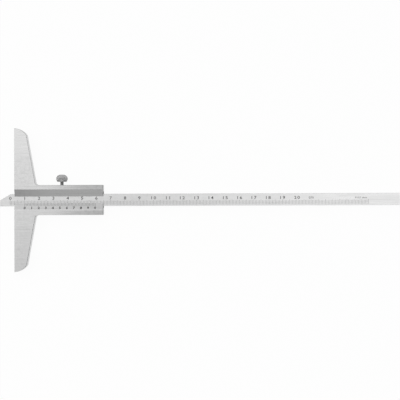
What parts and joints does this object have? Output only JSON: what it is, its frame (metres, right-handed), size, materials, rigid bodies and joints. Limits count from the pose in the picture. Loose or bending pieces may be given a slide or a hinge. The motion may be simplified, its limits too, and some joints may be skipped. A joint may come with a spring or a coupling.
{
  "type": "depth gauge",
  "caption": "Vernier depth gauge with a T-shaped base, a graduated beam that slides through it and a knurled lock screw, lying on its back.",
  "frame": {"origin": "on the measuring face, at the middle of the beam's width, where that face meets the flat back", "axes": "+X along the beam, from the measuring face to the beam's far end; +Y towards the lock screw; +Z out of the front, where the scales are"},
  "size_m": [0.279, 0.1, 0.008],
  "materials": {
    "body_steel": "hardened stainless steel, satin",
    "beam_steel": "hardened stainless steel, satin chrome face with filled graduations",
    "guide_strip_steel": "stainless steel, finely ground",
    "vernier_plate_steel": "stainless steel, satin chrome face with filled graduations",
    "lock_screw_steel": "turned steel, satin plated, knurled belt",
    "set_screw_steel": "stainless steel, turned",
    "strip_screw_steel": "stainless steel, turned",
    "gib_brass": "rolled brass strip",
    "pad_brass": "turned brass"
  },
  "bodies": {
    "frame": {"base_frame": "body_steel", "upper_guide_strip": "guide_strip_steel", "vernier_plate": "vernier_plate_steel", "gib_strip": "gib_brass", "gib_set_screw_1": "set_screw_steel", "gib_set_screw_2": "set_screw_steel", "guide_strip_screw_1": "strip_screw_steel", "guide_strip_screw_2": "strip_screw_steel", "guide_strip_screw_3": "strip_screw_steel", "guide_strip_screw_4": "strip_screw_steel", "vernier_plate_screw_1": "strip_screw_steel", "vernier_plate_screw_2": "strip_screw_steel", "vernier_plate_screw_3": "strip_screw_steel", "vernier_plate_screw_4": "strip_screw_steel"},
    "beam": {"beam": "beam_steel"},
    "lock_pad": {"lock_pad": "pad_brass"},
    "lock_screw": {"lock_screw": "lock_screw_steel"}
  },
  "joints": [
    {"name": "beam_slide", "type": "slide", "parent": "frame", "child": "beam", "axis": [-1, 0, 0], "range_m": [-0.0104, 0.1896]},
    {"name": "lock_pad_slide", "type": "slide", "parent": "frame", "child": "lock_pad", "axis": [0, 1, 0], "range_m": [0, 0.00045]},
    {"name": "lock_screw_turn", "type": "hinge", "parent": "lock_pad", "child": "lock_screw", "pos_m": [0.03275, 0.0128, 0.004], "axis": [0, 1, 0], "range_deg": [0, 360]}
  ],
  "couplings": [
    {"joint": "lock_screw_turn", "follows": "lock_pad_slide", "rad_per_m": 13963}
  ]
}
